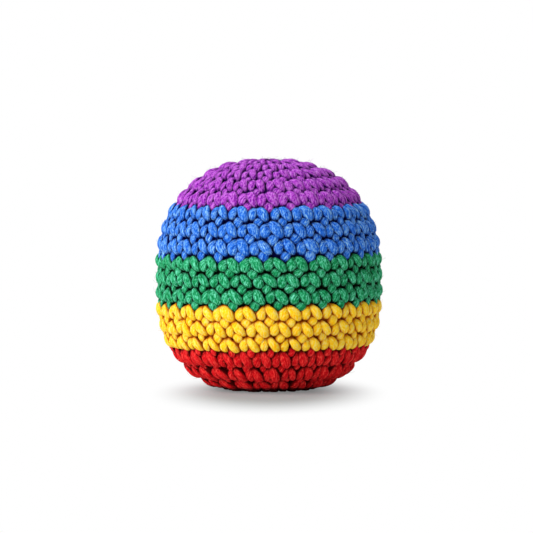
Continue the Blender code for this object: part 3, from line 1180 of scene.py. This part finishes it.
@dataclass
class PelletFill:
    """The plastic pellets: a settled heap, and single ones that lie on it."""

    finish: PelletFinish
    hollow: Outline
    width: float = 3.2
    thickness: float = 2.6
    smallest: float = 0.92
    end_turn: float = 0.22  # where a pellet's end faces begin, in radians from its axis
    side_power: float = 0.75
    end_power: float = 0.9
    spacing: float = 3.3
    row_mm: float = 3.1
    layer_share: float = 0.9
    least_below: float = 1.0
    jitter_mm: float = 0.04
    heap_mesh: tuple[int, int] = (5, 7)  # rings of points, and points to a ring
    bead_mesh: tuple[int, int] = (11, 16)
    loose_nodes: tuple[str, ...] = tuple(f"loose_pellet_{number:02d}" for number in range(1, 13))
    seed: int = 3

    def shaped(
        self, middles: ndarray, rings: int, sides: int, draw: Generator
    ) -> tuple[ndarray, ndarray]:
        """Puts one rounded pellet, turned at random, on each place.

        Args:
            middles: Where the pellets are.
            rings: How many rings of points each has.
            sides: How many points a ring has.
            draw: The source of turns and small differences.

        Returns:
            Pellets by rings by sides by coordinates, and a tone for each point.
        """
        count = len(middles)
        lean = np.linspace(self.end_turn, np.pi - self.end_turn, rings)[:, None]
        turn = math.tau * np.arange(sides)[None] / sides
        out = self.width / 2 * np.sin(lean) ** self.side_power
        up = np.sign(np.cos(lean)) * np.abs(np.cos(lean)) ** self.end_power * self.thickness / 2
        shape = round_axis(out, turn, up)
        size = draw.uniform(self.smallest, 1.0, (count, 1, 1, 3))
        turned, _ = np.linalg.qr(draw.normal(size=(count, 3, 3)))
        turned[:, 0] *= np.sign(np.linalg.det(turned))[:, None]
        points = np.einsum("nrsc,ncd->nrsd", shape[None] * size, turned)
        tone = np.broadcast_to(draw.random((count, 1, 1)), points.shape[:3])
        return points + middles[:, None, None], tone.copy()

    def heap(self, draw: Generator) -> ndarray:
        """Places the settled pellets: shell within shell, under a level top layer.

        Args:
            draw: The source of how far each ring is turned.

        Returns:
            The pellets' middles.
        """
        hollow = self.hollow
        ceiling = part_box("pellet_bed")[1][2] / MM - self.width / 2
        rings = []
        for inset in np.arange(self.width / 2, hollow.radius, self.spacing):
            below = max(hollow.below - inset, self.least_below)
            shell = Outline(hollow.radius - inset, hollow.top - inset, below=below)
            for arc in np.arange(shell.length, 0, -self.row_mm):
                level = float(np.interp(arc, shell.arcs, shell.points[:, 1]))
                if level < ceiling - self.layer_share * self.spacing:
                    rings.append((float(shell.radius_at(arc)), level))
        reach = float(np.interp(-ceiling, -hollow.points[:, 1], hollow.points[:, 0]))
        rings += [(out, ceiling) for out in np.arange(reach - self.width / 2, 0, -self.spacing)]
        middles = []
        for out, level in rings:
            count = max(1, int(math.tau * out / self.spacing))
            angle = math.tau * (np.arange(count) + draw.random()) / count
            middles.append(round_axis(out, angle, level))
        middles = np.concatenate(middles)
        return middles + draw.normal(0, self.jitter_mm, middles.shape)

    def build(self) -> list[Object]:
        """Builds the heap and the single pellets.

        Returns:
            Their pieces.
        """
        draw = np.random.default_rng(self.seed)
        material = self.finish.material()
        heap = self.heap(draw)
        works = [("pellet_bed", "_heap", heap, self.heap_mesh)]
        works += [(node, "_bead", node_middle(node)[None], self.bead_mesh) for node in self.loose_nodes]
        pieces = []
        for node, ending, middles, mesh in works:
            points, tone = self.shaped(middles, *mesh, draw)
            faces = tube_faces(*points.shape[:3])
            piece = mesh_piece(node + ending, points, faces, material, {"pellet_tone": tone})
            pieces.append(settle(piece, self.finish.name, node))
        log.info("pellets: %d in the heap, %d loose", len(heap), len(self.loose_nodes))
        return pieces


@dataclass
class Footbag:
    """The whole bag: how its rounds are worked, colour by colour, and what it holds."""

    plans: dict[Colour, BandPlan]
    knot_colours: dict[str, Colour]
    film: FilmFinish
    thread: YarnFinish
    pellets: PelletFinish
    border_shares: tuple[float, ...] = (0.0, 0.299, 0.439, 0.567, 0.699, 1.0)
    border_tilts: tuple[float, ...] = (0.0, 0.05, 0.36, 0.33, 0.10, 0.0)
    ring_stitches: int = 6
    lean: float = 0.56
    relax: int = 4
    apex_lead: float = 0.50
    knot_angle: float = math.pi / 2
    seed: int = 11
    inside: tuple[float, ...] = (23.5, 52.5, 27.0, 23.0)
    pouch: tuple[float, ...] = (23.2, 49.0, 27.0, 22.7)
    hollow: tuple[float, ...] = (22.4, 48.2, 27.0, 21.9)

    def outline(self) -> Outline:
        """The bag's outline, from the frame's own box."""
        low, high = CAD_BOUNDS
        return Outline(radius=(high[0] - low[0]) / 2 / MM, top=(high[2] - low[2]) / MM)

    def worked_into(self, parents: ndarray, count: int) -> ndarray:
        """Places a round's stitches from the round that they are worked into.

        Where the new round has more stitches, two are worked into one here and
        there, and where it has fewer, one is worked over two.

        Args:
            parents: The angles of the round before, rising.
            count: How many stitches the new round has.

        Returns:
            The new round's angles, rising.
        """
        changes = abs(count - len(parents))
        widths = np.diff(np.concatenate([parents, parents[:1] + math.tau]))
        leaning = parents + self.lean * widths
        half = 0.5 if changes % 2 == 0 else 0.0
        seams = self.knot_angle + math.tau * (np.arange(changes) + half) / max(changes, 1)
        away = np.abs((leaning[None] - seams[:, None] + math.pi) % math.tau - math.pi)
        chosen = away.argmin(1)
        if count > len(parents):
            angles = np.concatenate([leaning, leaning[chosen] + widths[chosen] / 2])
        else:
            leaning[chosen] += widths[chosen] / 2
            angles = np.delete(leaning, (chosen + 1) % len(parents))
        angles = np.sort(angles % math.tau)
        for _ in range(self.relax):
            before = np.concatenate([angles[-1:] - math.tau, angles[:-1]])
            after = np.concatenate([angles[1:], angles[:1] + math.tau])
            angles = angles / 2 + (before + after) / 4
        return angles

    def rounds(self, borders: list[float]) -> dict[Colour, list[Round]]:
        """Works every round, from the crown down.

        Args:
            borders: The arcs where the colours begin and end.

        Returns:
            The rounds of each colour.
        """
        draw = np.random.default_rng(self.seed)
        angles = np.arange(self.ring_stitches) * math.tau / self.ring_stitches
        worked = {}
        for number, colour in enumerate(Colour):
            plan = self.plans[colour]
            first, last = borders[number : number + 2]
            first_tilt, last_tilt = self.border_tilts[number : number + 2]
            height = (last - first) / len(plan.counts)
            worked[colour] = []
            for place, count in enumerate(plan.counts):
                share = place / len(plan.counts)
                angles = self.worked_into(angles, count)
                tilt = first_tilt + (last_tilt - first_tilt) * share
                top = first + place * height - self.apex_lead
                sink = plan.sink_mm * (1 - share) ** 2
                worked[colour].append(Round(top, height, tilt, angles, draw, sink))
        return worked

    def build(self) -> list[Object]:
        """Builds every band, the yarn ends, the pouch and the pellets.

        Returns:
            The pieces.
        """
        outline = self.outline()
        borders = [share * outline.length for share in self.border_shares]
        rounds = self.rounds(borders)
        materials = {colour: plan.finish.material() for colour, plan in self.plans.items()}
        slots = {colour: plan.finish.name for colour, plan in self.plans.items()}
        loops = dict(rounds)
        loops[Colour.YELLOW] = rounds[Colour.YELLOW][:-1]  # its last loops are worked in red
        loops[Colour.RED] = rounds[Colour.YELLOW][-1:] + rounds[Colour.RED]
        pieces = []
        for number, colour in enumerate(Colour):
            ends = (borders[number], borders[number + 1])
            band = YarnBand(
                colour=colour,
                plan=self.plans[colour],
                material=materials[colour],
                outline=outline,
                leg_rounds=rounds[colour],
                loop_rounds=loops[colour],
                ends=ends,
                pockets=[(end, self.knot_angle) for end in ends if end > 0],
                seed=number,
            )
            pieces += band.build()
        inside = Outline(*self.inside)
        ends = YarnEnds(slots, materials, inside, self.knot_colours, self.knot_angle)
        pouch = InnerPouch(self.film, self.thread, Outline(*self.pouch))
        fill = PelletFill(self.pellets, Outline(*self.hollow))
        return pieces + ends.build() + pouch.build() + fill.build()


@dataclass(frozen=True)
class Studio:
    """The pale floor, the soft light and the camera."""

    distance: float = 1.0
    eye_height: float = 0.079
    sensor: float = 36.0
    frame_px: int = 533
    object_middle_px: tuple[float, float] = (269.0, 273.25)
    mm_per_px: float = 0.2434
    middle_height: float = 0.02825
    white: str = "#FFFFFF"
    sky_strength: float = 0.43
    # the grey of the painted shadow oval, lit and shaded by the lamps where the camera sees it
    painted_shadow_floor: str = "#828282"
    felt: str = "#E8E8E8"
    floor_side: float = 6.0
    # the painted shadow oval: its half sizes and how far ahead of the bag it sits, in metres, and where it
    # fades to white, in oval radii
    painted_shadow_half: tuple[float, float] = (0.019, 0.043)
    painted_shadow_ahead: float = 0.012
    white_from: float = 0.5
    white_to: float = 1.55
    # a faint glow that lifts the floor's shadows where the camera sees them: painted light
    floor_glow_lift: float = 0.20
    key: tuple[float, float, float] = (-0.66, -0.52, 0.50)
    top: tuple[float, float, float] = (-0.06, 0.42, 0.85)

    def camera(self) -> None:
        """Sets up the long-lensed camera, nearly level with the bag."""
        data = bpy.data.cameras.new("camera")
        data.sensor_width = self.sensor
        data.lens = self.sensor * self.distance / (self.frame_px * self.mm_per_px * MM)
        made = add_object("camera", data)
        aside = (self.frame_px / 2 - self.object_middle_px[0]) * self.mm_per_px * MM
        above = (self.object_middle_px[1] - self.frame_px / 2) * self.mm_per_px * MM
        made.location = (aside, -self.distance, self.eye_height)
        drop = self.eye_height - self.middle_height - above
        made.rotation_euler = (math.pi / 2 - math.atan2(drop, self.distance), 0, 0)
        bpy.context.scene.camera = made

    def lamp(self, name: str, place: tuple[float, float, float], size: float, power: float) -> None:
        """Adds one soft square lamp aimed at the bag.

        Args:
            name: The lamp's name.
            place: Where it stands, in metres.
            size: Its side in metres.
            power: Its power in watts.
        """
        data = bpy.data.lights.new(name, "AREA")
        data.shape = "SQUARE"
        data.size = size
        data.energy = power
        made = add_object(name, data)
        made.location = place
        x, y, z = place[0], place[1], place[2] - self.middle_height
        made.rotation_euler = (math.atan2(math.hypot(x, y), z), 0, math.atan2(y, x) + math.pi / 2)

    def world(self) -> None:
        """Gives a white sky that lights softly and shows as plain white."""
        world = bpy.data.worlds.new("studio")
        bpy.context.scene.world = world
        world.use_nodes = True
        tree = world.node_tree
        tree.nodes.clear()
        seen = add_node(tree, "LightPath").outputs["Is Camera Ray"]
        light, white = (
            add_node(tree, "Background", {"Color": linear(self.white), "Strength": strength})
            for strength in (self.sky_strength, 1.0)
        )
        shown = add_node(tree, "MixShader", {0: seen, 1: light, 2: white})
        add_node(tree, "OutputWorld", {"Surface": shown})

    def floor(self) -> None:
        """Lays the floor.

        Inside an oval round the bag and ahead of it, the floor is grey: a painted
        shadow that also takes the bag's real shadow, lifted by a faint painted glow.
        Past the oval it is plain white.
        """
        made, tree = new_material("studio_floor")
        seen = add_node(tree, "LightPath").outputs["Is Camera Ray"]
        lit, felt = (
            add_node(tree, "BsdfDiffuse", {"Color": linear(colour)})
            for colour in (self.painted_shadow_floor, self.felt)
        )
        # Painted light: a faint glow added to the grey floor lifts its shadows.
        floor_glow_lift, glow = (
            add_node(tree, "Emission", {"Color": linear(self.white), "Strength": strength})
            for strength in (self.floor_glow_lift, 1.0)
        )
        glow_lifted = add_node(tree, "AddShader", {0: lit, 1: floor_glow_lift})
        matt = add_node(tree, "MixShader", {0: seen, 1: felt, 2: glow_lifted})
        # Painted shadow: an oval round the bag, set ahead of it, stays grey; past it the floor fades to a
        # plain white glow.
        across, along = self.painted_shadow_half
        place = {
            0: add_node(tree, "NewGeometry").outputs["Position"],
            1: (1 / across, 1 / along, 0.0),
            2: (0.0, self.painted_shadow_ahead / along, 0.0),
        }
        oval = add_node(tree, "VectorMath", place, operation="MULTIPLY_ADD")
        distance = add_node(tree, "VectorMath", {0: oval}, operation="LENGTH").outputs["Value"]
        edge = {"Value": distance, "From Min": self.white_from, "From Max": self.white_to}
        far = add_node(tree, "MapRange", edge, interpolation_type="SMOOTHSTEP")
        white = add_node(tree, "MixShader", {0: far, 1: matt, 2: glow})
        both = add_node(tree, "MixShader", {0: seen, 1: matt, 2: white})
        add_node(tree, "OutputMaterial", {"Surface": both})
        bpy.ops.mesh.primitive_plane_add(size=self.floor_side)
        plane = bpy.context.object
        plane.name = "floor"
        plane.data.materials.append(made)

    def build(self) -> None:
        """Sets up everything round the bag."""
        self.camera()
        self.world()
        self.floor()
        self.lamp("key", self.key, size=0.8, power=11.9)
        self.lamp("top", self.top, size=0.6, power=8.1)
        bpy.context.scene.view_settings.view_transform = "Standard"


# Each yarn's first colour is its painted crevice shade; the next three are the tones of its fibres, darker,
# middle and lighter.
PLANS = {
    Colour.PURPLE: BandPlan(
        YarnFinish(
            "purple_yarn",
            "#1B0044",
            "#660D87",
            "#A638B8",
            "#B46FC5",
            fibre_mm=0.24,
            fibre_stretch=2.2,
            bump_mm=0.40,
            clump_mm=0.6,
            contrast=0.07,
            shade_reach_mm=1.1,
            shade_from_occlusion=0.86,
            shade_to_occlusion=0.27,
        ),
        counts=(6, 12, 18, 24, 28, 31),
        fibres=3000,
        ground_front=1.35,
        flatness=0.54,
        leg_fullness=1.10,
        leg_share=0.96,
        loop_fullness=1.02,
    ),
    Colour.BLUE: BandPlan(
        YarnFinish("blue_yarn", "#000148", "#02187A", "#206AD3", "#9AC8D0"), counts=(32, 33, 33)
    ),
    Colour.GREEN: BandPlan(
        YarnFinish("green_yarn", "#011001", "#013210", "#118D53", "#78DDBE"), counts=(33, 33, 33)
    ),
    Colour.YELLOW: BandPlan(
        YarnFinish("yellow_yarn", "#B05403", "#EC8A03", "#EDC812", "#DECD88"), counts=(33, 33, 32)
    ),
    Colour.RED: BandPlan(
        YarnFinish(
            "red_yarn", "#520002", "#7E0105", "#CA0312", "#FF5B4E", contrast=0.19, bump_mm=0.24
        ),
        counts=(31, 27, 20, 13, 7),
        flatness=0.92,
        leg_fullness=1.06,
        leg_share=0.97,
        loop_fullness=0.85,
        sink_mm=0.7,
    ),
}

KNOT_COLOURS = {
    "purple_blue_knot": Colour.BLUE,
    "blue_green_knot": Colour.GREEN,
    "green_yellow_knot": Colour.YELLOW,
    "yellow_red_knot": Colour.RED,
    "closing_knot": Colour.RED,
}

# The thread's first colour is its painted crevice shade.
TIE_THREAD = YarnFinish(
    "tie_thread", "#6E675A", "#A39C8C", "#C2BBAA", "#DDD7C8", fibre_mm=0.12, clump_mm=0.5
)


def main() -> None:
    """Builds the footbag and what it is shown in."""
    logging.basicConfig(level=logging.INFO, format="%(message)s")
    Studio().build()
    bag = Footbag(PLANS, KNOT_COLOURS, FilmFinish(), TIE_THREAD, PelletFinish())
    log.info("%d pieces", len(bag.build()))


if __name__ == "__main__":
    main()
